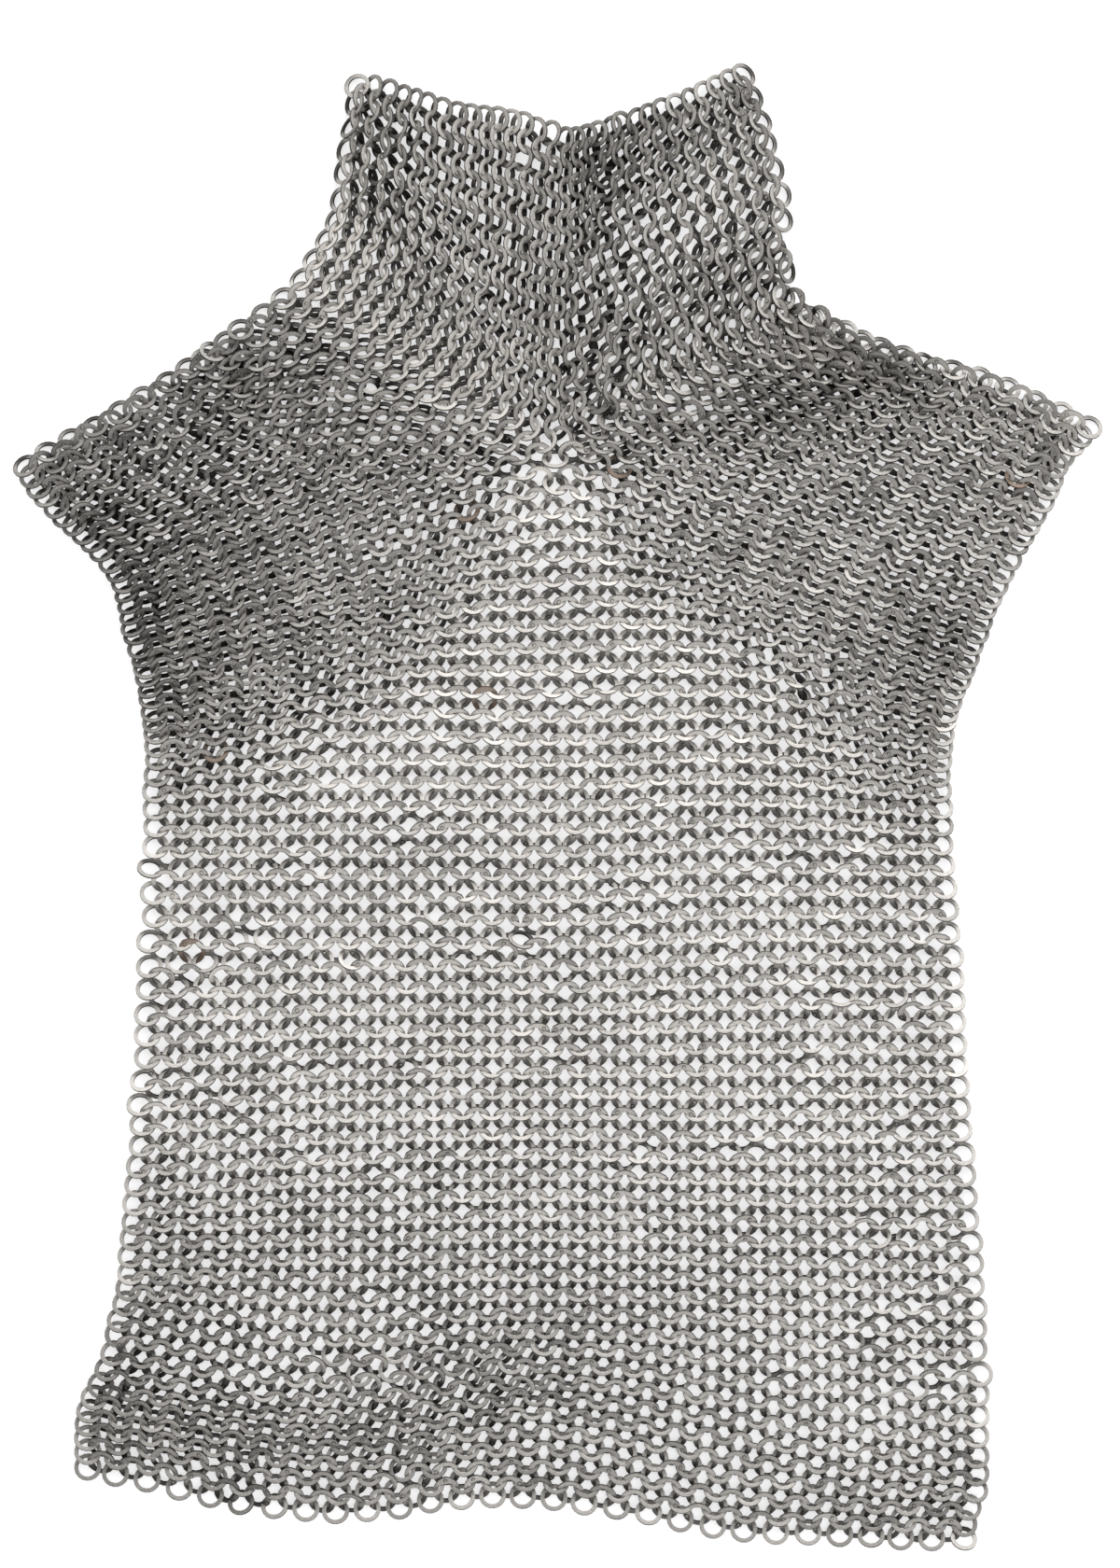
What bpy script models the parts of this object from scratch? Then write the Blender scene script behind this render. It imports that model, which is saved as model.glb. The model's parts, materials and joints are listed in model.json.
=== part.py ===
"""A mail voider laid flat: three woven panels, the rows of rings that join them, and the loose hem row.

Metres, +Z up. The sheet lies on z = 0, with the neck towards +Y and the hem towards -Y, and the
origin is under the middle of its box. Every place in the weave has a row number and a column number.
Row 0 is the joining row; rows are counted away from it, solid rings on odd rows and riveted rings on
even ones. Columns are counted from the point where the three joins meet.
"""

import math

import bmesh
import bpy
from mathutils import Matrix

MM = 0.001

# The rings
RING_OUTER = 13.4 * MM
RING_THICK = 1.15 * MM
LEAST_TILT = math.radians(35.0)     # a ring leans at least this much on the rings it is linked to
REACH_ROWS = 3                      # tilted rings this many rows apart just clear each other
EDGE_THICK = 4.5 * MM               # the outermost rings lie down on the surface

# The weave
RING_HALF_COLUMNS = 0.46            # a ring's radius along its row, in columns
RING_HALF_ROWS = 1.15               # a ring's half height across its row, in rows
SEAM_ROW = 0.5                      # half way from the joining row to a panel's first row
GAP_ROWS = 0.06                     # keeps pieces 0.3 mm apart or a little more
NECK_COLUMNS = 9
SIDE_COLUMNS = 14                   # columns from the middle out to a flank or a shoulder's tip
HEM_ROW = 101

# Where the three joining rows meet, and their far ends (mm); each is straight
JOIN_MEET = (-1, 180)
JOIN_ENDS = {"left": (-208, 93), "right": (209, 96), "neck": (7, 330)}

# Body panel. Guide rows: row number, then (x, y) in mm at columns -14, -7, 0, 7 and 14
BODY_COLUMNS = (-14, -7, 0, 7, 14)
BODY_GUIDES = {
    8: ((-202, 73), (-97, 109), (-1, 133), (95, 115), (201, 73)),
    16: ((-198, 52), (-94, 81), (-2, 89), (90, 86), (192, 52)),
    24: ((-196, 29), (-96, 45), (-3, 44), (91, 45), (188, 29)),
    32: ((-197, -2), (-100, 0), (-4, 0), (92, 3), (189, -2)),
    48: ((-201, -93), (-102, -89), (-3, -89), (96, -86), (195, -87)),
    64: ((-206, -179), (-104, -173), (-3, -171), (99, -173), (201, -173)),
    81: ((-214, -249), (-109, -256), (-5, -253), (100, -258), (207, -265)),
    92: ((-229, -290), (-120, -307), (-12, -298), (98, -312), (207, -321)),
    101: ((-232, -322), (-124, -344), (-16, -337), (92, -353), (200, -358)),
}

# Yoke panels. Guide rows: row number, then (x, y) in mm at columns 9, 6.1 and 3.3 up the neck, at the
# corner column 0, and at columns -3.5, -7, -10.5 and -14 out along the shoulder
YOKE_COLUMNS = (9, 6.1, 3.3, 0, -3.5, -7, -10.5, -14)
LEFT_GUIDES = {
    8: ((-20, 340), (-20, 289), (-22, 241), (-33, 201),
        (-72, 181), (-115, 161), (-165, 137), (-214, 115)),
    16: ((-46, 344), (-46, 296), (-49, 256), (-66, 222),
         (-103, 201), (-133, 182), (-181, 158), (-230, 135)),
    24: ((-73, 351), (-76, 308), (-79, 275), (-98, 243),
         (-134, 218), (-159, 201), (-204, 176), (-249, 152)),
    31: ((-97, 358), (-103, 327), (-108, 295), (-126, 262),
         (-159, 234), (-181, 218), (-221, 193), (-261, 170)),
}
RIGHT_GUIDES = {
    9: ((32, 338), (32, 295), (34, 249), (34, 204), (70, 184), (119, 165), (171, 145), (223, 125)),
    18: ((63, 349), (66, 311), (72, 271), (69, 226), (98, 205), (137, 190), (187, 171), (237, 150)),
    27: ((92, 362), (104, 330), (111, 295), (104, 249), (123, 226), (158, 212), (204, 196), (250, 176)),
    33: ((110, 368), (128, 342), (135, 309), (128, 265), (138, 239), (170, 224), (216, 211), (262, 190)),
}
LEFT_ROWS = (31, 31)                # last row out along the shoulder, and up the neck
RIGHT_ROWS = (33, 27)
CORNER = (-3.5, 3.3)                # the last row changes between these columns

# Largest folds: name, centre x and y, half length, half width (mm), direction in degrees, rise (mm)
FOLDS = (
    ("left shoulder underside", -218, 128, 40, 16, 40, 2.5),
    ("right shoulder trough", 163, 200, 45, 14, -38, -2.0),
    ("right shoulder ridge", 188, 212, 40, 12, -30, 2.0),
    ("left of the neck", -88, 330, 38, 20, 75, 2.5),
    ("neck top gather", 18, 318, 12, 16, 0, 3.0),
    ("left edge bunch", -196, 60, 26, 12, 90, 2.0),
    ("right flank bunch", 184, 85, 34, 14, -60, 2.0),
    ("hem left gather", -165, -300, 70, 16, -8, 1.5),
)

# Steps of the solids
ARM_STEPS = 8                       # columns are stepped this many times on each side of the meeting point
NECK_STEPS = 6
BODY_STEPS = 22
YOKE_STEPS = 10
SCALLOP_STEPS = 4                   # straight sides on each hanging ring of the hem


def smooth_at(stations, values, place):
    """Value at place on a smooth curve through values at increasing stations, straight beyond the ends."""
    last = len(stations) - 1
    gaps = [stations[k + 1] - stations[k] for k in range(last)]
    chords = [
        [(b - a) / gaps[k] for a, b in zip(values[k], values[k + 1])] for k in range(last)
    ]
    slopes = [chords[0]]
    for k in range(1, last):
        both = gaps[k - 1] + gaps[k]
        slopes.append([
            (before * gaps[k] + after * gaps[k - 1]) / both
            for before, after in zip(chords[k - 1], chords[k])
        ])
    slopes.append(chords[-1])
    if place <= stations[0]:
        return [v + (place - stations[0]) * s for v, s in zip(values[0], slopes[0])]
    if place >= stations[-1]:
        return [v + (place - stations[-1]) * s for v, s in zip(values[-1], slopes[-1])]
    k = max(i for i in range(last) if stations[i] <= place)
    t = (place - stations[k]) / gaps[k]
    start, end = 2 * t**3 - 3 * t**2 + 1, 3 * t**2 - 2 * t**3
    leave, arrive = (t**3 - 2 * t**2 + t) * gaps[k], (t**3 - t**2) * gaps[k]
    return [
        start * a + end * b + leave * sa + arrive * sb
        for a, b, sa, sb in zip(values[k], values[k + 1], slopes[k], slopes[k + 1])
    ]


def join_point(column, low_side, high_side):
    """A point of a straight joining row, in mm. Columns below 0 run to low_side's end."""
    side = low_side if column < 0 else high_side
    columns = NECK_COLUMNS if side == "neck" else SIDE_COLUMNS
    share = abs(column) / columns
    return [a + share * (b - a) for a, b in zip(JOIN_MEET, JOIN_ENDS[side])]


def panel_point(panel, row, column):
    """Where the weave's row and column lie on the surface, in mm."""
    stations, guides, low_side, high_side = panel
    order = sorted(range(len(stations)), key=lambda i: stations[i])
    places = [stations[i] for i in order]
    rows = [0] + sorted(guides)
    points = [join_point(column, low_side, high_side)]
    for guide in rows[1:]:
        points.append(smooth_at(places, [guides[guide][i] for i in order], column))
    return smooth_at(rows, points, row)


BODY = (BODY_COLUMNS, BODY_GUIDES, "left", "right")
LEFT_YOKE = (YOKE_COLUMNS, LEFT_GUIDES, "left", "neck")
RIGHT_YOKE = (YOKE_COLUMNS, RIGHT_GUIDES, "right", "neck")


def fold_rise(x, y):
    """Rise of the top surface by the folds near (x, y), all in mm."""
    rise = 0.0
    for _, fold_x, fold_y, half_length, half_width, direction, height in FOLDS:
        turn = math.radians(direction)
        along = (x - fold_x) * math.cos(turn) + (y - fold_y) * math.sin(turn)
        across = (y - fold_y) * math.cos(turn) - (x - fold_x) * math.sin(turn)
        rise += height * math.exp(-(along / half_length) ** 2 - (across / half_width) ** 2)
    return rise


def mail_thickness(row_gap):
    """Thickness of the sheet where its rows lie row_gap apart. Close rows make the rings stand up."""
    lean = max(LEAST_TILT, math.acos(min(1.0, max(0.35, REACH_ROWS * row_gap / RING_OUTER))))
    return RING_OUTER * math.sin(lean) + RING_THICK * math.cos(lean)


def top_height(panel, row, column):
    """Height of the sheet's top at a row and column."""
    x, y = panel_point(panel, row, column)
    x_next, y_next = panel_point(panel, row + 1, column)
    x_side, y_side = panel_point(panel, row, column + 0.5)
    side = math.hypot(x_side - x, y_side - y)
    row_gap = abs((x_next - x) * (y_side - y) - (y_next - y) * (x_side - x)) / side
    return mail_thickness(row_gap * MM) + fold_rise(x, y) * MM


def steps_between(start, end, count):
    return [start + (end - start) * k / count for k in range(count + 1)]


def add_material(item, name, colour, roughness):
    material = bpy.data.materials.new(name)
    material.use_nodes = True
    shader = material.node_tree.nodes["Principled BSDF"]
    shader.inputs["Base Color"].default_value = (*colour, 1.0)
    shader.inputs["Roughness"].default_value = roughness
    shader.inputs["Metallic"].default_value = 1.0
    item.data.materials.append(material)


def add_sheet(name, grid, colour, roughness):
    """Make a closed sheet from a grid of (x, y, top height) points in metres, flat on z = 0 underneath."""
    shape = bmesh.new()
    tops = [[shape.verts.new(point) for point in line] for line in grid]
    for line, next_line in zip(tops, tops[1:]):
        for k in range(len(line) - 1):
            shape.faces.new((line[k], line[k + 1], next_line[k + 1], next_line[k]))
    rim = tops[0][:-1] + [line[-1] for line in tops[:-1]]
    rim += tops[-1][:0:-1] + [line[0] for line in tops[:0:-1]]
    feet = [shape.verts.new((top.co.x, top.co.y, 0.0)) for top in rim]
    for k in range(len(rim)):
        after = (k + 1) % len(rim)
        shape.faces.new((rim[after], rim[k], feet[k], feet[after]))
    shape.faces.new(feet[::-1])
    bmesh.ops.recalc_face_normals(shape, faces=shape.faces)
    mesh = bpy.data.meshes.new(name)
    shape.to_mesh(mesh)
    shape.free()
    mesh.shade_smooth()
    mesh.set_sharp_from_angle(angle=math.radians(40.0))
    item = bpy.data.objects.new(name, mesh)
    bpy.context.collection.objects.link(item)
    add_material(item, name + "_steel", colour, roughness)
    return item


def panel_grid(panel, last_row, steps, columns):
    """Grid of a panel from half way to its joins out to last_row(column). The outer edges come down."""
    rows = [steps_between(SEAM_ROW + GAP_ROWS, last_row(column), steps) for column in columns]
    grid = []
    for step in range(steps + 1):
        line = []
        for column, stops in zip(columns, rows):
            x, y = panel_point(panel, stops[step], column)
            height = top_height(panel, stops[step], column)
            if column in (columns[0], columns[-1]) or step == steps:
                height = EDGE_THICK
            line.append((x * MM, y * MM, height))
        grid.append(line)
    return grid


SIDE = SIDE_COLUMNS + RING_HALF_COLUMNS
ARM = steps_between(-SIDE, 0, ARM_STEPS)
NECK = steps_between(0, NECK_COLUMNS + RING_HALF_COLUMNS, NECK_STEPS)


def make_body():
    """Body panel, from half way to the shoulder joins down to the row above the loose hem row."""
    columns = steps_between(-SIDE, SIDE, 2 * ARM_STEPS)
    grid = panel_grid(BODY, lambda column: HEM_ROW - 1 - GAP_ROWS, BODY_STEPS, columns)
    for k in range(1, len(grid[-1]) - 1):
        x, y, _ = grid[-1][k]
        grid[-1][k] = (x, y, mail_thickness(RING_OUTER / REACH_ROWS))
    add_sheet("body_panel", grid, (0.42, 0.41, 0.40), 0.45)


def make_yoke(name, panel, last_rows):
    """A yoke panel, from half way to its joins out to its free edge."""

    def last_row(column):
        share = min(1.0, max(0.0, (column - CORNER[0]) / (CORNER[1] - CORNER[0])))
        return last_rows[0] + share * (last_rows[1] - last_rows[0]) + RING_HALF_ROWS

    add_sheet(name, panel_grid(panel, last_row, YOKE_STEPS, ARM + NECK[1:]), (0.40, 0.39, 0.38), 0.45)


def join_side(panel, columns, row):
    """Points along one side of a joining row, ending short of the place where the three joins meet."""
    points = [panel_point(panel, row, column) for column in columns]
    share = RING_HALF_COLUMNS * 1.3 / abs(columns[-2])
    points[-1] = [b + share * (a - b) for a, b in zip(points[-2], points[-1])]
    return points


def make_join(name, first, second, first_columns, second_columns):
    """A row of riveted rings between two panels."""
    row = SEAM_ROW - GAP_ROWS
    sides = (join_side(first, first_columns, row), join_side(second, second_columns, row))
    middles = [[(a + b) / 2 for a, b in zip(p, q)] for p, q in zip(*sides)]
    height = mail_thickness(RING_OUTER / REACH_ROWS)
    grid = []
    for line, top in ((sides[0], height), (middles, height + RING_THICK), (sides[1], height)):
        grid.append([(x * MM, y * MM, top) for x, y in line])
    add_sheet(name, grid, (0.36, 0.35, 0.34), 0.5)


def make_joins():
    """The three joining rows: each side takes the columns of the panel that it meets."""
    right_arm = [-column for column in ARM]
    make_join("left_joining_row", BODY, LEFT_YOKE, ARM, ARM)
    make_join("right_joining_row", BODY, RIGHT_YOKE, right_arm, ARM)
    make_join("neck_joining_row", LEFT_YOKE, RIGHT_YOKE, NECK[::-1], NECK[::-1])


def make_hem():
    """The loose last row: a scalloped strip, one scallop for each hanging solid ring."""
    upper, lower = [], []
    half = RING_OUTER / 2 / MM
    for column in range(-SIDE_COLUMNS, SIDE_COLUMNS + 1):
        x, y = panel_point(BODY, HEM_ROW, column)
        for k in range(SCALLOP_STEPS + 1):
            turn = math.pi + math.pi * k / SCALLOP_STEPS
            place = column + RING_HALF_COLUMNS * math.cos(turn)
            upper.append(panel_point(BODY, HEM_ROW - 1 + GAP_ROWS, place))
            lower.append((x + half * math.cos(turn), y + half * math.sin(turn)))
    top = mail_thickness(RING_OUTER / REACH_ROWS)
    grid = [[(x * MM, y * MM, top) for x, y in upper]]
    grid.append([(x * MM, y * MM, EDGE_THICK) for x, y in lower])
    add_sheet("hem_edge_row", grid, (0.44, 0.43, 0.42), 0.42)


def centre_on_origin():
    """Move every piece so that the origin is under the middle of the whole sheet's box."""
    pieces = list(bpy.context.collection.objects)
    corners = [vertex.co for piece in pieces for vertex in piece.data.vertices]
    middle_x = (min(c.x for c in corners) + max(c.x for c in corners)) / 2
    middle_y = (min(c.y for c in corners) + max(c.y for c in corners)) / 2
    for piece in pieces:
        piece.data.transform(Matrix.Translation((-middle_x, -middle_y, 0.0)))


for old in list(bpy.data.objects):
    bpy.data.objects.remove(old, do_unlink=True)

make_body()
make_yoke("left_yoke_panel", LEFT_YOKE, LEFT_ROWS)
make_yoke("right_yoke_panel", RIGHT_YOKE, RIGHT_ROWS)
make_joins()
make_hem()
centre_on_origin()
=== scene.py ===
"""A mail voider laid flat: every ring of the weave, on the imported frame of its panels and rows."""

import json
import math

import bpy
import numpy as np
from mathutils import Matrix, Vector, kdtree

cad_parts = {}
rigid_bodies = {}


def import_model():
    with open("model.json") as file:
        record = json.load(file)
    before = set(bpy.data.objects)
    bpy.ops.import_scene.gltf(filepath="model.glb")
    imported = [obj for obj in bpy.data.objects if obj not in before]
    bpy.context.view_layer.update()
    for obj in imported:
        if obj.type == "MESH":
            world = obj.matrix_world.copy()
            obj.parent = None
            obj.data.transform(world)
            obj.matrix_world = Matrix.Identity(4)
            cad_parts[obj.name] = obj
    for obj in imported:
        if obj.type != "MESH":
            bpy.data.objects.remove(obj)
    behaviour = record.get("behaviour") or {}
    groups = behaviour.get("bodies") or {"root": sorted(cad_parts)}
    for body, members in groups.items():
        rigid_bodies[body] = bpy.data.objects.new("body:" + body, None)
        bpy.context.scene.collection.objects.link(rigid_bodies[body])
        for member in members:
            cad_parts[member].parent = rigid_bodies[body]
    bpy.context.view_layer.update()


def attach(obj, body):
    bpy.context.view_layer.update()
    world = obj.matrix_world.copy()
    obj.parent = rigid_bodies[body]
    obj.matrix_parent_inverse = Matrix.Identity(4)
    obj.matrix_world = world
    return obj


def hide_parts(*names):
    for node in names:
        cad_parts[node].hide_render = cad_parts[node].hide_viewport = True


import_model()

# Floor, light and camera
# The sheet lies on a pale table top under a broad soft lamp at its neck end, a weaker one at its hem end
# and a pale room. The camera looks straight down on it.
VIEW_MIDDLE = (0.0007, 0.0120)
VIEW_LENGTH = 0.7728
LENS = 100.0
SENSOR = 36.0

bpy.ops.object.select_all(action="DESELECT")
bpy.ops.mesh.primitive_plane_add(size=12.0, location=(0.0, 0.0, 0.0))
floor = bpy.context.object
floor.name = "floor"
paint = bpy.data.materials.new("pale_floor")
paint.use_nodes = True
nodes, links = paint.node_tree.nodes, paint.node_tree.links
seen = nodes["Principled BSDF"]
seen.inputs["Base Color"].default_value = (0.95, 0.95, 0.96, 1.0)
seen.inputs["Roughness"].default_value = 0.9
seen.inputs["Specular IOR Level"].default_value = 0.1
seen.inputs["Emission Color"].default_value = (1.0, 1.0, 1.0, 1.0)
seen.inputs["Emission Strength"].default_value = 0.6
dim = nodes.new("ShaderNodeBsdfDiffuse")
dim.inputs["Color"].default_value = (0.55, 0.55, 0.55, 1.0)
rays = nodes.new("ShaderNodeLightPath")
either = nodes.new("ShaderNodeMixShader")
links.new(rays.outputs["Is Camera Ray"], either.inputs["Fac"])
links.new(dim.outputs["BSDF"], either.inputs[1])
links.new(seen.outputs["BSDF"], either.inputs[2])
links.new(either.outputs["Shader"], nodes["Material Output"].inputs["Surface"])
floor.data.materials.append(paint)


def add_lamp(name, place, size, power):
    """A square soft lamp that faces the middle of the sheet."""
    bpy.ops.object.light_add(type="AREA", location=place)
    lamp = bpy.context.object
    lamp.name = name
    lamp.data.shape = "SQUARE"
    lamp.data.size = size
    lamp.data.energy = power
    lamp.rotation_euler = (-Vector(place)).to_track_quat("-Z", "Y").to_euler()


add_lamp("neck_lamp", (0.6, 2.0, 1.1), 1.6, 12.0)
add_lamp("hem_lamp", (0.2, -2.0, 1.1), 1.4, 8.0)
room = bpy.data.worlds.new("pale_room")
room.use_nodes = True
nodes, links = room.node_tree.nodes, room.node_tree.links
sight = nodes.new("ShaderNodeTexCoord")
brighter = nodes.new("ShaderNodeVectorMath")        # towards the walls, the neck end and the right
brighter.operation = "DOT_PRODUCT"
brighter.inputs[1].default_value = (0.12, 0.38, -0.5)
links.new(sight.outputs["Generated"], brighter.inputs[0])
glow = nodes.new("ShaderNodeMath")
glow.operation = "ADD"
glow.inputs[1].default_value = 0.92
links.new(brighter.outputs["Value"], glow.inputs[0])
links.new(glow.outputs["Value"], nodes["Background"].inputs["Strength"])
nodes["Background"].inputs["Color"].default_value = (1.0, 0.995, 0.99, 1.0)
bpy.context.scene.world = room
bpy.context.scene.view_settings.view_transform = "Standard"

bpy.ops.object.camera_add(location=(*VIEW_MIDDLE, VIEW_LENGTH * LENS / SENSOR))
camera = bpy.context.object
camera.data.lens = LENS
camera.data.sensor_width = SENSOR
bpy.context.scene.camera = camera


# The weave
# Each solid ring passes through four riveted ones, and each riveted ring through four solid ones. Rows
# are counted away from the joining rows, solid rings on odd rows, and columns from the point where the
# joins meet.
MM = 0.001
SHEET_MIDDLE = (1.11, 1.75)         # middle of the whole sheet, in the measure of the tables below (mm)
RING_OUTER = 13.4
RING_BORE = 9.3
RING_THICK = 1.15
LEAST_LEAN = math.radians(35.0)     # a ring leans at least this much on the rings it is linked to
NECK_COLUMNS = 9
SIDE_COLUMNS = 14                   # columns from the middle out to a flank or a shoulder's tip
HEM_ROW = 101
JOIN_MEET = (-1, 180)
JOIN_ENDS = {"left": (-208, 93), "right": (209, 96), "neck": (7, 330)}

# Body panel: row number, then (x, y) in mm at columns -14, -7, 0, 7 and 14
BODY_COLUMNS = (-14, -7, 0, 7, 14)
BODY_GUIDES = {
    8: ((-202, 73), (-97, 109), (-1, 133), (95, 115), (201, 73)),
    16: ((-198, 52), (-94, 81), (-2, 89), (90, 86), (192, 52)),
    24: ((-196, 29), (-96, 45), (-3, 44), (91, 45), (188, 29)),
    32: ((-197, -2), (-100, 0), (-4, 0), (92, 3), (189, -2)),
    48: ((-201, -93), (-102, -89), (-3, -89), (96, -86), (195, -87)),
    64: ((-206, -179), (-104, -173), (-3, -171), (99, -173), (201, -173)),
    81: ((-214, -249), (-109, -256), (-5, -253), (100, -258), (207, -265)),
    92: ((-229, -290), (-120, -307), (-12, -298), (98, -312), (207, -321)),
    101: ((-232, -322), (-124, -344), (-16, -337), (92, -353), (200, -358)),
}
# Yoke panels: row number, then (x, y) in mm at columns 9, 6.1 and 3.3 up the neck, at the corner column
# 0, and at columns -3.5, -7, -10.5 and -14 out along the shoulder
YOKE_COLUMNS = (9, 6.1, 3.3, 0, -3.5, -7, -10.5, -14)
LEFT_GUIDES = {
    8: ((-20, 340), (-20, 289), (-22, 241), (-33, 201),
        (-72, 181), (-115, 161), (-165, 137), (-214, 115)),
    16: ((-46, 344), (-46, 296), (-49, 256), (-66, 222),
         (-103, 201), (-133, 182), (-181, 158), (-230, 135)),
    24: ((-73, 351), (-76, 308), (-79, 275), (-98, 243),
         (-134, 218), (-159, 201), (-204, 176), (-249, 152)),
    31: ((-97, 358), (-103, 327), (-108, 295), (-126, 262),
         (-159, 234), (-181, 218), (-221, 193), (-261, 170)),
}
RIGHT_GUIDES = {
    9: ((32, 338), (32, 295), (34, 249), (34, 204),
        (70, 184), (119, 165), (171, 145), (223, 125)),
    18: ((63, 349), (66, 311), (72, 271), (69, 226),
         (98, 205), (137, 190), (187, 171), (237, 150)),
    27: ((92, 362), (104, 330), (111, 295), (104, 249),
         (123, 226), (158, 212), (204, 196), (250, 176)),
    33: ((110, 368), (128, 342), (135, 309), (128, 265),
         (138, 239), (170, 224), (216, 211), (262, 190)),
}
LEFT_ROWS = (31, 31)                # last row out along the shoulder, and up the neck
RIGHT_ROWS = (33, 27)


def smooth_at(stations, values, place):
    """Value at place on a smooth curve through values at increasing stations, straight beyond the ends."""
    last = len(stations) - 1
    gaps = [stations[k + 1] - stations[k] for k in range(last)]
    chords = [(values[k + 1] - values[k]) / gaps[k] for k in range(last)]
    slopes = [chords[0]]
    for k in range(1, last):
        slopes.append((chords[k - 1] * gaps[k] + chords[k] * gaps[k - 1]) / (gaps[k - 1] + gaps[k]))
    slopes.append(chords[-1])
    if place <= stations[0]:
        return values[0] + (place - stations[0]) * slopes[0]
    if place >= stations[-1]:
        return values[-1] + (place - stations[-1]) * slopes[-1]
    k = max(i for i in range(last) if stations[i] <= place)
    t = (place - stations[k]) / gaps[k]
    start, end = 2 * t**3 - 3 * t**2 + 1, 3 * t**2 - 2 * t**3
    leave, arrive = (t**3 - 2 * t**2 + t) * gaps[k], (t**3 - t**2) * gaps[k]
    return start * values[k] + end * values[k + 1] + leave * slopes[k] + arrive * slopes[k + 1]


def join_point(column, low_side, high_side):
    """A point of a straight joining row: columns below 0 run to low_side's end, above 0 to high_side's."""
    side = low_side if column < 0 else high_side
    share = abs(column) / (NECK_COLUMNS if side == "neck" else SIDE_COLUMNS)
    return np.array(JOIN_MEET) * (1 - share) + np.array(JOIN_ENDS[side]) * share


def panel_point(panel, row, column):
    """Where the weave's row and column lie on the table, in mm."""
    stations, guides, low_side, high_side = panel
    order = np.argsort(stations)
    points = [join_point(column, low_side, high_side)]
    for guide in guides.values():
        points.append(smooth_at(np.array(stations)[order], np.array(guide, float)[order], column))
    return smooth_at([0, *guides], points, row)


PANELS = {
    "body": (BODY_COLUMNS, BODY_GUIDES, "left", "right"),
    "left": (YOKE_COLUMNS, LEFT_GUIDES, "left", "neck"),
    "right": (YOKE_COLUMNS, RIGHT_GUIDES, "right", "neck"),
}


def ring_columns(row, low, high):
    """Columns of the rings in a row: whole ones for solid rings and half ones for riveted rings."""
    if row % 2:
        return range(low, high + 1)
    return [column + 0.5 for column in range(low, high)]


rings = []


def weave(panel, last_rows, low, high):
    """Note every ring: panel, row, column, place, the ways along and away, and the gaps both ways.

    A joining row is noted once. The last row changes over the corner between the shoulder and the neck.
    """
    shape = PANELS[panel]
    for row in range(max(last_rows) + 1):
        for column in ring_columns(row, low, high):
            noted = row == 0 and (panel == "right" or panel == "left" and column < 0)
            if noted or row > np.interp(column, (-3.5, 3.3), last_rows):
                continue
            before, after = (panel_point(shape, row, column + step) for step in (-0.5, 0.5))
            inner, outer = (panel_point(shape, row + step, column) for step in (0, 1))
            along = (after - before) / np.hypot(*(after - before))
            away = np.array((-along[1], along[0]))
            row_gap = away @ (outer - inner)
            away, row_gap = (away, row_gap) if row_gap > 0 else (-away, -row_gap)
            place = panel_point(shape, row, column)
            rings.append((panel, row, column, place, along, away, row_gap, np.hypot(*(after - before))))


weave("body", (HEM_ROW, HEM_ROW), -SIDE_COLUMNS, SIDE_COLUMNS)
weave("left", LEFT_ROWS, -SIDE_COLUMNS, NECK_COLUMNS)
weave("right", RIGHT_ROWS, -SIDE_COLUMNS, NECK_COLUMNS)

panel_of = np.array([ring[0] for ring in rings])
row_of = np.array([ring[1] for ring in rings])
column_of = np.array([ring[2] for ring in rings])
target = np.array([ring[3] for ring in rings]) - np.array(SHEET_MIDDLE)
along = np.array([ring[4] for ring in rings])
away = np.array([ring[5] for ring in rings])
row_gap = np.array([ring[6] for ring in rings])
ring_gap = np.array([ring[7] for ring in rings])
solid = row_of % 2 == 1
count = len(rings)
draw = np.random.default_rng(7)


def ripple(length):
    """A smooth uneven field over the sheet, about 1 in size, whose swells are about length mm apart."""
    field = np.zeros(count)
    for _ in range(16):
        way = draw.normal(0, 2 * math.pi / length, 2)
        field += np.sin(target @ way + draw.uniform(0, 2 * math.pi))
    return field / math.sqrt(8)


# Folds and gathers, in which the rings stand up: (x, y) in mm, reach along x and along y, and depth
FOLDS = (
    (-214, 115, 34, 40, 1.0),
    (-205, 55, 24, 30, 0.8),
    (100, 196, 22, 10, 0.8),
    (134, 205, 22, 10, 1.0),
    (168, 214, 22, 10, 0.9),
    (-90, 322, 26, 40, 0.8),
    (20, 321, 24, 14, 0.9),
    (186, 78, 22, 34, 0.7),
    (-168, -290, 48, 32, 0.7),
)
folded = np.zeros(count)
for x, y, wide, high, depth in FOLDS:
    folded += depth * np.exp(-(((target[:, 0] - x) / wide) ** 2) - ((target[:, 1] - y) / high) ** 2)
# Near the hem's left corner the rows have slid closer together, all but the last few
in_x, in_y = (target + (172, 303)).T
slid = 0.25 * np.exp(-((in_x / 80) ** 2) - (in_y / 34) ** 2) * np.clip((HEM_ROW - row_of) / 4, 0, 1)
target[:, 1] -= slid * (panel_of == "body") * in_y
uneven = np.array([0.5 * ripple(50), 0.3 * ripple(70)]).T + draw.normal(0, 0.22, (count, 2))
target += uneven * np.minimum(1, row_gap / 4)[:, None]

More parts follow.
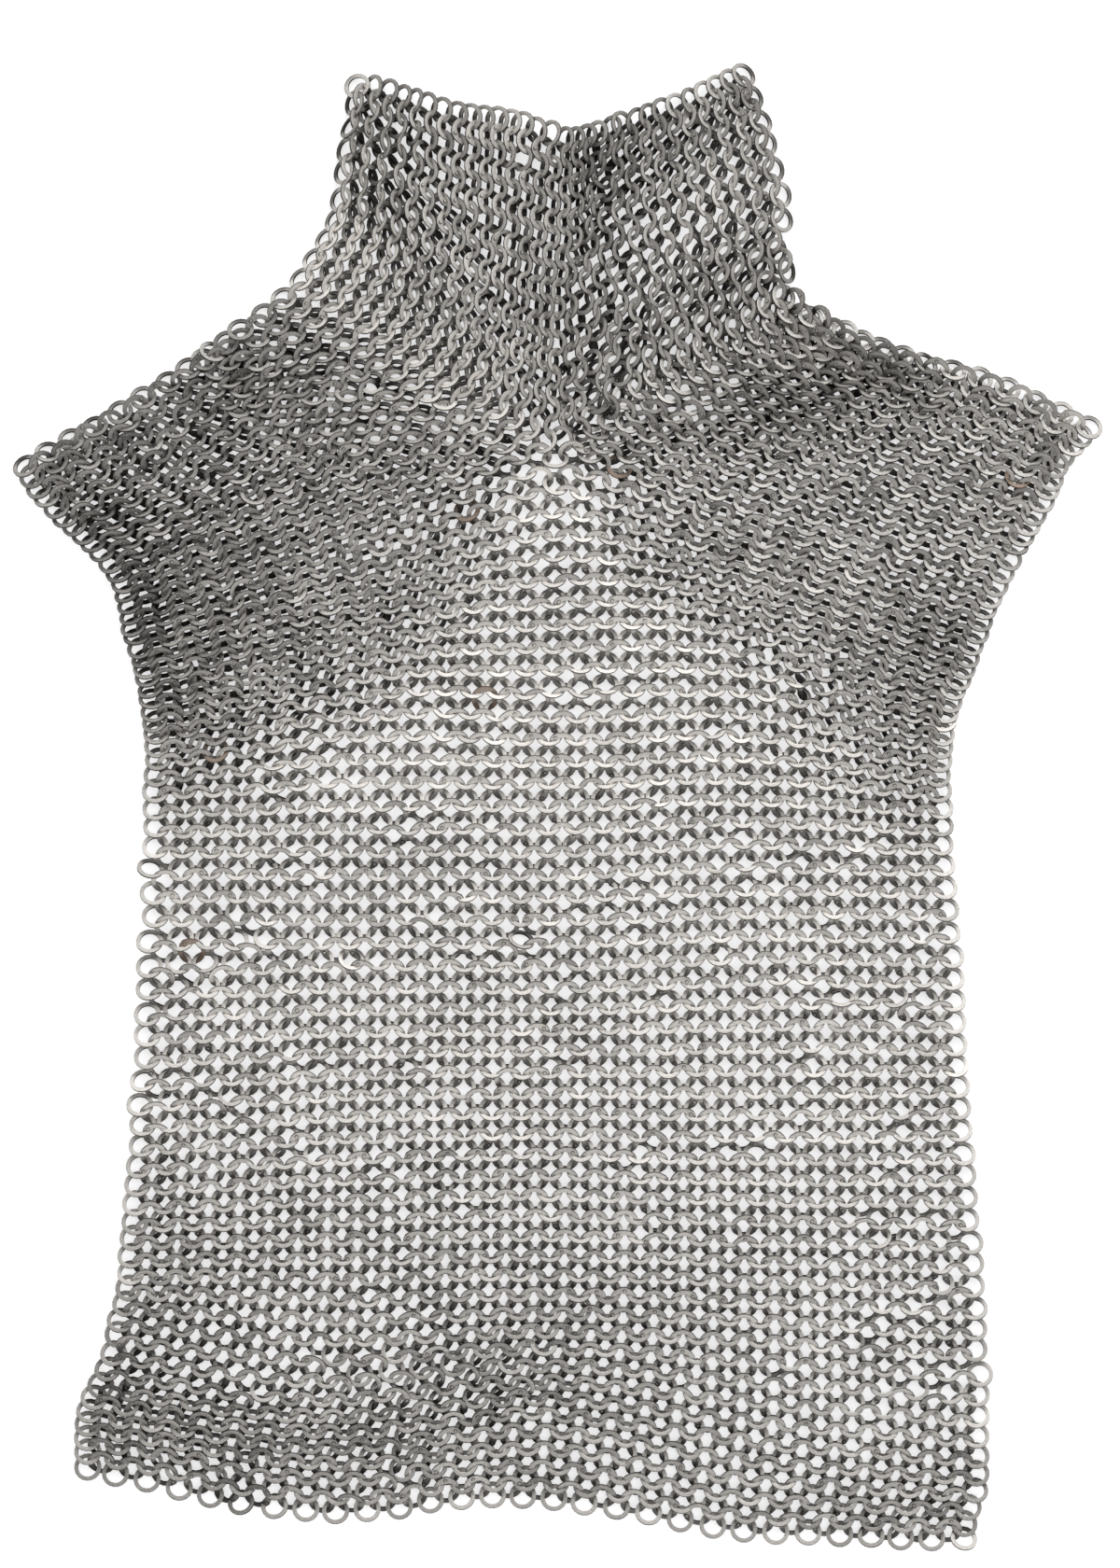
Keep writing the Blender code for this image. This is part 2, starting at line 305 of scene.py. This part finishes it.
# The raised side of a solid ring faces the hem, and that of a riveted ring faces the neck. Where the rows
# crowd together the rings overlap like scales instead of standing up.
in_neck = (panel_of != "body") * np.clip((column_of + 2) / 4, 0, 1)
near_hem = (panel_of == "body") * np.clip((row_of - 70) / 12, 0, 1)
near_hem = near_hem * np.clip((40 - target[:, 0]) / 120, 0.4, 1)
up_flank = (1 - in_neck) * np.clip((5.0 - row_gap) / 1.4, 0, 1) * (1 - near_hem)
lean = LEAST_LEAN + math.radians(3) * ripple(60)
lean -= math.radians(10) * near_hem * np.where(solid, 1.3, 1.0)
lean -= math.radians(10) * up_flank * np.where(solid, 1.2, 0.7)
lean += math.radians(20) * np.minimum(folded, 1)
raised = np.where(panel_of == "body", 1.0, -1.0) * np.where(solid, 1.0, -1.0)
# The right half of the neck leans the left half's way at first, and turns over raggedly a few rows out
turns_back = (panel_of == "right") & (in_neck > 0.3) & (row_of < 6 + draw.normal(0, 2.5, count))
raised = np.where(turns_back, -raised, raised)
heading = np.arctan2(away[:, 1], away[:, 0])
upright = np.where(panel_of == "body", -math.pi / 2, math.pi / 2)
follow = np.select([panel_of == "body", panel_of == "left"], [0.6, 0.45], 0.25)
heading += follow * (1 - in_neck) * (upright - heading)
face = np.empty((count, 3))
face[:, 0] = -raised * np.sin(lean) * np.cos(heading)
face[:, 1] = -raised * np.sin(lean) * np.sin(heading)
face[:, 2] = np.cos(lean)
crowded = ring_gap < RING_OUTER     # then each ring rides up on the next one in its row
face[:, :2] += (np.clip(1.4 / ring_gap, 0, 1) * crowded)[:, None] * along
face += draw.normal(0, 1, face.shape) * np.where(row_gap < 4.2, 0.09, 0.05)[:, None]
face /= np.linalg.norm(face, axis=1)[:, None]
wanted = face.copy()

# Settling. Each ring is held softly at its place and lean, sinks to the table, and is pushed and turned
# away from any ring that it runs into. Contact is felt at points along the inner and outer edge of each
# band. It isn't exact: some rings end a little inside each other, and one crossing in twenty isn't a link.
STEPS = 80
LETTING_GO = 30                     # last steps, in which only the contacts act more and more
HOLD = 0.05                         # share of the way back to its place that a ring goes in a step
HOLD_LEAN = 0.04
SINK = 0.01                         # mm in a step
SAMPLES = 20                        # points on each edge
NEAR = RING_OUTER + 0.8             # rings whose places are farther apart are taken not to touch
EASE = 3.2                          # over a ring's number of touches: the share it follows of each push
MOST_EASE = 0.8
centre = np.zeros((count, 3))
centre[:, :2] = target
centre[:, 2] = RING_OUTER / 2 * np.sqrt(1 - face[:, 2] ** 2) + RING_THICK / 2 * face[:, 2]

near = kdtree.KDTree(count)
for k in range(count):
    near.insert((*target[k], 0.0), k)
near.balance()
pairs = [
    (k, other)
    for k in range(count)
    for _, other, _ in near.find_range((*target[k], 0.0), NEAR)
    if other != k
]
first, second = np.array(pairs).T

skin = RING_THICK / 2
turns = np.arange(SAMPLES) * 2 * math.pi / SAMPLES
reach = np.repeat((RING_BORE / 2 + skin, RING_OUTER / 2 - skin), SAMPLES)
turns = np.concatenate((turns, turns + math.pi / SAMPLES))
across, upward = reach * np.cos(turns), reach * np.sin(turns)
band_middle = (RING_OUTER + RING_BORE) / 4     # radius of the middle of the band
half_width = (RING_OUTER - RING_BORE) / 4 + skin
half_thick = RING_THICK / 2 + skin
inertia = band_middle**2 / 2
for step in range(STEPS):
    pull = min(1, (STEPS - step) / LETTING_GO)
    centre[:, :2] += HOLD * pull * (target - centre[:, :2])
    centre[:, 2] -= SINK * pull
    face += HOLD_LEAN * pull * (wanted - face)
    # Where the edge points of each second ring lie, seen from the first ring of its pair
    side = np.cross(face, (1.0, 0.0, 0.0))
    side /= np.linalg.norm(side, axis=1)[:, None]
    other_side = np.cross(face, side)
    spokes = (side[:, None] * across[:, None] + other_side[:, None] * upward[:, None]).astype(np.float32)
    arm = spokes[second] + (centre[second] - centre[first]).astype(np.float32)[:, None]
    height = np.einsum("mkd,md->mk", arm, face[first].astype(np.float32))
    radius = np.sqrt(np.maximum(np.einsum("mkd,mkd->mk", arm, arm) - height**2, 1e-6))
    width_left = half_width - np.abs(radius - band_middle)
    thick_left = half_thick - np.abs(height)
    pair, sample = np.nonzero((width_left > 0) & (thick_left > 0))
    arm, own = arm[pair, sample], spokes[second[pair], sample]
    height, radius = height[pair, sample][:, None], radius[pair, sample][:, None]
    width_left, thick_left = width_left[pair, sample], thick_left[pair, sample]
    # A point inside the first ring's band is pushed the shorter way out: off its face, or off its edge
    a, b = first[pair], second[pair]
    outward = np.sign(radius - band_middle) * (arm - height * face[a]) / radius
    push = np.where((thick_left < width_left)[:, None], np.sign(height) * face[a], outward)
    # Both rings give way, by moving and by turning
    turn_a, turn_b = np.cross(arm, push), np.cross(own, push)
    stiff = 2 + ((turn_a**2).sum(1) + (turn_b**2).sum(1)) / inertia
    share = np.minimum(thick_left, width_left) / stiff
    touches = np.bincount(a, minlength=count) + np.bincount(b, minlength=count)
    ease = np.minimum(EASE / np.maximum(touches, 1), MOST_EASE)
    spin = np.empty((count, 3))
    for d in range(3):
        moved = np.bincount(b, share * push[:, d], count) - np.bincount(a, share * push[:, d], count)
        centre[:, d] += ease * moved
        turned = np.bincount(b, share * turn_b[:, d], count) - np.bincount(a, share * turn_a[:, d], count)
        spin[:, d] = ease * turned / inertia
    face += np.cross(spin, face)
    face /= np.linalg.norm(face, axis=1)[:, None]
    low = centre[:, 2] - RING_OUTER / 2 * np.sqrt(1 - face[:, 2] ** 2) - RING_THICK / 2 * face[:, 2]
    centre[:, 2] -= np.minimum(low, 0)


# The two kinds of ring
# A solid ring is punched from sheet and tumbled until its edges are soft. A riveted ring is flattened
# wire, its ends lapped and closed with a domed rivet.
RING_SIDES = 18
CROWN = 0.16        # rise of the middle of the band over its edges
RIVET_WIDTH = 2.2
RIVET_RISE = 0.8
RIVET_LEVEL = 0.62 * RING_THICK
WIRE_WIDER = 1.08   # width of a riveted ring's band over a solid one's
LAP_WIDER = 0.7     # and what the lap adds to it at the rivet
LAP_THICKER = 0.35
LAP_ANGLE = math.radians(27)
LAP_REACH = 7.5     # from the ring's middle to the lap's outer edge

shapes = bpy.data.collections.new("ring_shapes")
bpy.context.scene.collection.children.link(shapes)


def mark_walls(piece, steep):
    """Mark the steep faces, which get painted shade."""
    walls = [float(abs(polygon.normal.z) < steep) for polygon in piece.data.polygons]
    piece.data.attributes.new("wall", "FLOAT", "FACE").data.foreach_set("value", walls)


def add_flat_ring(name, crown):
    """A ring of flat section, turned from a five-cornered outline with a crowned top."""
    bpy.ops.object.select_all(action="DESELECT")
    bpy.ops.mesh.primitive_circle_add(vertices=5, radius=1.0, rotation=(math.radians(90), 0, 0))
    ring = bpy.context.object
    ring.name = name
    bpy.ops.object.transform_apply(location=False, rotation=True, scale=False)
    half, thick = (RING_OUTER - RING_BORE) / 4, RING_THICK / 2
    corners = [(0, thick), (half, thick - crown), (half, -thick), (-half, -thick), (-half, thick - crown)]
    around = sorted(ring.data.vertices, key=lambda v: math.atan2(v.co.x, v.co.z) % (2 * math.pi))
    for vertex, (x, z) in zip(around, corners):
        vertex.co = (band_middle + x, 0.0, z)
    bpy.ops.object.mode_set(mode="EDIT")
    bpy.ops.mesh.select_all(action="SELECT")
    bpy.ops.mesh.spin(steps=RING_SIDES, angle=2 * math.pi, center=(0, 0, 0), axis=(0, 0, 1))
    bpy.ops.mesh.select_all(action="SELECT")
    bpy.ops.mesh.remove_doubles(threshold=0.01)
    bpy.ops.mesh.normals_make_consistent(inside=False)
    bpy.ops.object.mode_set(mode="OBJECT")
    bpy.ops.object.shade_smooth_by_angle(angle=math.radians(40))
    mark_walls(ring, 0.5)
    return ring


def put_away(ring):
    """Scale a finished ring to metres and keep it with the shapes that the weave copies."""
    ring.data.transform(Matrix.Scale(MM, 4))
    for holder in list(ring.users_collection):
        holder.objects.unlink(ring)
    shapes.objects.link(ring)


solid_ring = add_flat_ring("ring_0_solid", CROWN)
riveted_ring = add_flat_ring("ring_1_riveted", CROWN * 1.5)
for vertex in riveted_ring.data.vertices:
    turn = math.atan2(vertex.co.y, vertex.co.x)
    swell = math.exp(-((turn / LAP_ANGLE) ** 2))
    radius = math.hypot(vertex.co.x, vertex.co.y)
    wide = band_middle + (radius - band_middle) * (WIRE_WIDER + LAP_WIDER * swell)
    vertex.co.x, vertex.co.y = wide * math.cos(turn), wide * math.sin(turn)
    vertex.co.z *= 1 + LAP_THICKER * swell
bpy.ops.object.select_all(action="DESELECT")
bpy.ops.mesh.primitive_uv_sphere_add(segments=8, ring_count=4, radius=1.0, location=(0, 0, 0))
rivet = bpy.context.object
bpy.ops.object.mode_set(mode="EDIT")
bpy.ops.mesh.select_all(action="SELECT")
bpy.ops.mesh.bisect(plane_co=(0, 0, -0.1), plane_no=(0, 0, 1), clear_inner=True, use_fill=True)
bpy.ops.object.mode_set(mode="OBJECT")
bpy.ops.object.shade_smooth()
mark_walls(rivet, 0.8)
size = Matrix.Diagonal((RIVET_WIDTH / 2, RIVET_WIDTH / 2, RIVET_RISE, 1))
rivet.data.transform(Matrix.Translation((band_middle, 0, RIVET_LEVEL)) @ size)
riveted_ring.select_set(True)
bpy.context.view_layer.objects.active = riveted_ring
bpy.ops.object.join()
put_away(solid_ring)
put_away(riveted_ring)


# The steel
# Mild steel, tumbled grey, with a different tone on each ring. Painted shade darkens it below the middle of
# each ring, where it lies under others, and on its steep walls.
def make_steel(name, colour, shade_low, shade_high):
    """Grey steel with painted shade: dark below the lower of the two levels (m) under the ring's middle,
    unshaded above the higher.
    """
    steel = bpy.data.materials.new(name)
    steel.use_nodes = True
    nodes, links = steel.node_tree.nodes, steel.node_tree.links
    shader = nodes["Principled BSDF"]
    shader.inputs["Metallic"].default_value = 1.0
    shader.inputs["Roughness"].default_value = 0.6
    tone_and_shade, level, shade_lift, wall, rust = (nodes.new("ShaderNodeAttribute") for _ in range(5))
    tone_and_shade.attribute_name = "tone_and_shade"
    level.attribute_name = "level"
    shade_lift.attribute_name = "shade_lift"
    wall.attribute_name = "wall"
    rust.attribute_name = "rust"
    # The ring's own tone, which also carries painted shade and painted light, and a fine speckle make it
    # lighter or darker
    shade = nodes.new("ShaderNodeMix")
    shade.data_type = "RGBA"
    shade.clamp_factor = False
    shade.inputs["A"].default_value = (*[0.6 * c for c in colour], 1)
    shade.inputs["B"].default_value = (*[1.3 * c for c in colour], 1)
    place = nodes.new("ShaderNodeTexCoord")
    grain = nodes.new("ShaderNodeTexNoise")
    grain.inputs["Scale"].default_value = 1500.0
    grain.inputs["Detail"].default_value = 1.0
    links.new(place.outputs["Object"], grain.inputs["Vector"])
    speckled = nodes.new("ShaderNodeMath")
    speckled.operation = "MULTIPLY_ADD"
    speckled.inputs[1].default_value = 1.2
    links.new(grain.outputs["Fac"], speckled.inputs[0])
    links.new(tone_and_shade.outputs["Fac"], speckled.inputs[2])
    links.new(speckled.outputs["Value"], shade.inputs["Factor"])
    # Painted shade: none high over the ring's own middle and more below it, lifted by the per-ring shade
    # lift, and deeper on the steep walls
    parts = nodes.new("ShaderNodeSeparateXYZ")
    links.new(place.outputs["Object"], parts.inputs["Vector"])
    over = nodes.new("ShaderNodeMath")
    over.operation = "SUBTRACT"
    links.new(parts.outputs["Z"], over.inputs[0])
    links.new(level.outputs["Fac"], over.inputs[1])
    lit_above = nodes.new("ShaderNodeMapRange")
    lit_above.interpolation_type = "SMOOTHSTEP"
    lit_above.inputs["From Min"].default_value = shade_low
    lit_above.inputs["From Max"].default_value = shade_high
    links.new(over.outputs["Value"], lit_above.inputs["Value"])
    most = nodes.new("ShaderNodeMath")
    most.operation = "MAXIMUM"
    links.new(lit_above.outputs["Result"], most.inputs[0])
    links.new(shade_lift.outputs["Fac"], most.inputs[1])
    # The steep walls get painted shade, darker by up to seven tenths
    lit_share = nodes.new("ShaderNodeMath")
    lit_share.operation = "MULTIPLY_ADD"
    lit_share.use_clamp = True
    lit_share.inputs[1].default_value = -0.7
    links.new(wall.outputs["Fac"], lit_share.inputs[0])
    links.new(most.outputs["Value"], lit_share.inputs[2])
    # Mix towards the dark colour of the painted shade
    shaded = nodes.new("ShaderNodeMix")
    shaded.data_type = "RGBA"
    shaded.inputs["A"].default_value = (0.08, 0.075, 0.068, 1)
    links.new(lit_share.outputs["Value"], shaded.inputs["Factor"])
    links.new(shade.outputs["Result"], shaded.inputs["B"])
    # Rust lies over all
    rusted = nodes.new("ShaderNodeMix")
    rusted.data_type = "RGBA"
    rusted.inputs["B"].default_value = (0.26, 0.15, 0.08, 1)
    links.new(rust.outputs["Fac"], rusted.inputs["Factor"])
    links.new(shaded.outputs["Result"], rusted.inputs["A"])
    links.new(rusted.outputs["Result"], shader.inputs["Base Color"])
    return steel


# Painted shade starts deep under the middle of a solid ring and higher on a riveted one
solid_steel = make_steel("punched_steel", (0.57, 0.55, 0.525), -0.0032, -0.0010)
riveted_steel = make_steel("wire_steel", (0.55, 0.53, 0.505), -0.0012, 0.0006)
for ring, steel in ((solid_ring, solid_steel), (riveted_ring, riveted_steel)):
    ring.data.materials.clear()
    ring.data.materials.append(steel)


# Laying the rings
# The maker links the rings one by one and closes each riveted one. Here a point for each ring carries its
# turn and its tones, and the two kinds of ring are copied onto the points.
laying = bpy.data.node_groups.new("lay_rings", "GeometryNodeTree")
laying.interface.new_socket("Geometry", in_out="INPUT", socket_type="NodeSocketGeometry")
laying.interface.new_socket("Geometry", in_out="OUTPUT", socket_type="NodeSocketGeometry")
points_in = laying.nodes.new("NodeGroupInput")
made_out = laying.nodes.new("NodeGroupOutput")
stock = laying.nodes.new("GeometryNodeCollectionInfo")
stock.inputs["Collection"].default_value = shapes
stock.inputs["Separate Children"].default_value = True
stock.inputs["Reset Children"].default_value = True
kind = laying.nodes.new("GeometryNodeInputNamedAttribute")
kind.data_type = "INT"
kind.inputs["Name"].default_value = "kind"
turn = laying.nodes.new("GeometryNodeInputNamedAttribute")
turn.data_type = "FLOAT_VECTOR"
turn.inputs["Name"].default_value = "turn"
copies = laying.nodes.new("GeometryNodeInstanceOnPoints")
copies.inputs["Pick Instance"].default_value = True
joined = laying.nodes.new("GeometryNodeRealizeInstances")
laying.links.new(points_in.outputs["Geometry"], copies.inputs["Points"])
laying.links.new(stock.outputs["Instances"], copies.inputs["Instance"])
laying.links.new(kind.outputs["Attribute"], copies.inputs["Instance Index"])
laying.links.new(turn.outputs["Attribute"], copies.inputs["Rotation"])
laying.links.new(copies.outputs["Instances"], joined.inputs["Geometry"])
laying.links.new(joined.outputs["Geometry"], made_out.inputs["Geometry"])


def lay_rings(name, chosen, node):
    """Make one piece of the chosen rings, which stands for a node of the frame."""
    bpy.ops.object.select_all(action="DESELECT")
    bpy.ops.mesh.primitive_plane_add(size=1.0)
    piece = bpy.context.object
    piece.name = name
    mesh = piece.data
    mesh.clear_geometry()
    index = np.nonzero(chosen)[0]
    mesh.vertices.add(len(index))
    mesh.vertices.foreach_set("co", (centre[index] * MM).ravel())
    mesh.attributes.new("kind", "INT", "POINT").data.foreach_set("value", (~solid[index]).astype(int))
    shades = {"tone_and_shade": tone_and_shade_of, "rust": rust_of, "shade_lift": shade_lift_of, "level": centre[:, 2] * MM}
    for shade, values in shades.items():
        mesh.attributes.new(shade, "FLOAT", "POINT").data.foreach_set("value", values[index])
    mesh.attributes.new("turn", "FLOAT_VECTOR", "POINT").data.foreach_set("vector", turn_of[index].ravel())
    piece.modifiers.new("rings", "NODES").node_group = laying
    bpy.ops.object.modifier_apply(modifier="rings")
    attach(piece, "root")
    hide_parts(node)
    return piece


# How light each ring is: a tone that differs at random, with painted shade in the folds and over the far
# left shoulder and painted light up the neck. It is also darker on the right half of the neck and towards
# the hem, and lighter where the weave is open.
open_weave = np.clip((row_gap - 4.0) / 1.2, 0, 1)
# A random tone, with painted shade in the folds and painted light up the neck
tone_and_shade_of = 0.1 * ripple(50) + draw.normal(0, 0.16, count) - 0.3 * np.minimum(folded, 1) + 0.2 * in_neck
far_left = np.clip((-50 - target[:, 0]) / 110, 0, 1) * np.clip((target[:, 1] - 30) / 50, 0, 1)
# Painted shade over the far left shoulder, half as deep on the body panel
tone_and_shade_of -= 0.35 * far_left * (1 - in_neck) * np.where(panel_of == "body", 0.5, 1)
tone_and_shade_of -= 0.25 * (panel_of == "right") * in_neck
tone_and_shade_of += open_weave * np.where(row_of < 32, 0.55, 0.35)
tone_and_shade_of -= 0.3 * (panel_of == "body") * np.clip((row_of - 60) / 20, 0, 1)
# Painted shade is lifted where the weave is open, and less so over the far left shoulder
shade_lift_of = 0.08 * (1 - far_left) + 0.4 * open_weave
# A few rings have rusted, and five at the left shoulder's edge are much darker or brighter
rust_of = np.zeros(count)
for x, y in ((-166, 32), (-182, -74), (-36, 54), (25, 168), (-42, 148), (226, 161)):
    rust_of[np.argmin(np.hypot(target[:, 0] - x, target[:, 1] - y))] = 0.6
odd_rings = ((-152, 245, -0.8), (-144, 251, -0.7), (-167, 228, -0.7), (-113, 290, 1.0), (-134, 261, 0.9))
for x, y, tone_and_shade in odd_rings:
    tone_and_shade_of[np.argmin(np.hypot(target[:, 0] - x, target[:, 1] - y))] = tone_and_shade
# The turn of each ring on its own axis, which says where its rivet is
turn_of = np.empty((count, 3))
for k in range(count):
    leaning = Vector((0, 0, 1)).rotation_difference(Vector(face[k])).to_matrix()
    turned = leaning @ Matrix.Rotation(draw.uniform(0, 2 * math.pi), 3, "Z")
    turn_of[k] = turned.to_euler()
    if not solid[k]:                # lift it until its lap dips less than half a millimetre into the table
        for side in (-1, 1):
            centre[k, 2] = max(centre[k, 2], -(turned @ Vector((LAP_REACH, 0, side * RING_THICK * 0.68))).z)


# Shoulder joins
# A row of riveted rings closes each shoulder to the body panel. They are the same wire rings as in the
# panels, and are put in last, through the solid rings on both sides.
at_shoulder = (panel_of == "body") & (row_of == 0)
left_join = lay_rings("left_join", at_shoulder & (column_of < 0), "left_joining_row")
right_join = lay_rings("right_join", at_shoulder & (column_of > 0), "right_joining_row")


# Upper body
# The body panel's rows nearest the shoulders, of mild steel rings. They hang in an open net down the
# middle and crowd together towards the flanks, under the shoulders.
UPPER_ROWS = 33
in_body = (panel_of == "body") & (row_of > 0)
body_upper = lay_rings("body_upper", in_body & (row_of <= UPPER_ROWS), "body_panel")


# Middle body
# The same panel's middle rows, the most evenly spread of all. No ring is cut or opened between it and the
# rows above: one weave runs through.
MIDDLE_ROWS = 33
in_middle = in_body & (row_of > UPPER_ROWS) & (row_of <= UPPER_ROWS + MIDDLE_ROWS)
body_middle = lay_rings("body_middle", in_middle, "body_panel")


# Hem row
# The last solid rings, punched from sheet like the others. Each is held by two riveted ones only, so that
# they hang loose as a scalloped edge.
hem_row = lay_rings("hem_row", in_body & (row_of == HEM_ROW), "hem_edge_row")


# Lower body
# The panel's last rows above the hem, of the same rings. They have slid together towards the hem's left
# corner, where the solid rings ride over the riveted ones.
in_lower = in_body & (row_of > UPPER_ROWS + MIDDLE_ROWS) & (row_of < HEM_ROW)
body_lower = lay_rings("body_lower", in_lower, "body_panel")


# Neck join
# One row of riveted wire rings up the middle of the neck. It closes the two yoke panels to each other,
# through the solid rings at their edges.
at_neck = (panel_of == "left") & (row_of == 0)
neck_join = lay_rings("neck_join", at_neck, "neck_joining_row")


# Left yoke
# The left half of the neck and the left shoulder, woven as one straight strip of steel rings. Laid flat,
# its rows turn the corner from the neck out to the shoulder's tip.
left_yoke = lay_rings("left_yoke", (panel_of == "left") & (row_of > 0), "left_yoke_panel")


# Right yoke
# Its counterpart on the right, six rows narrower up the neck than out along the shoulder, where a trough
# crosses it.
in_right = panel_of == "right"
right_yoke = lay_rings("right_yoke", in_right, "right_yoke_panel")

# The two loose ring shapes aren't pieces
for ring in list(shapes.objects):
    bpy.data.objects.remove(ring, do_unlink=True)
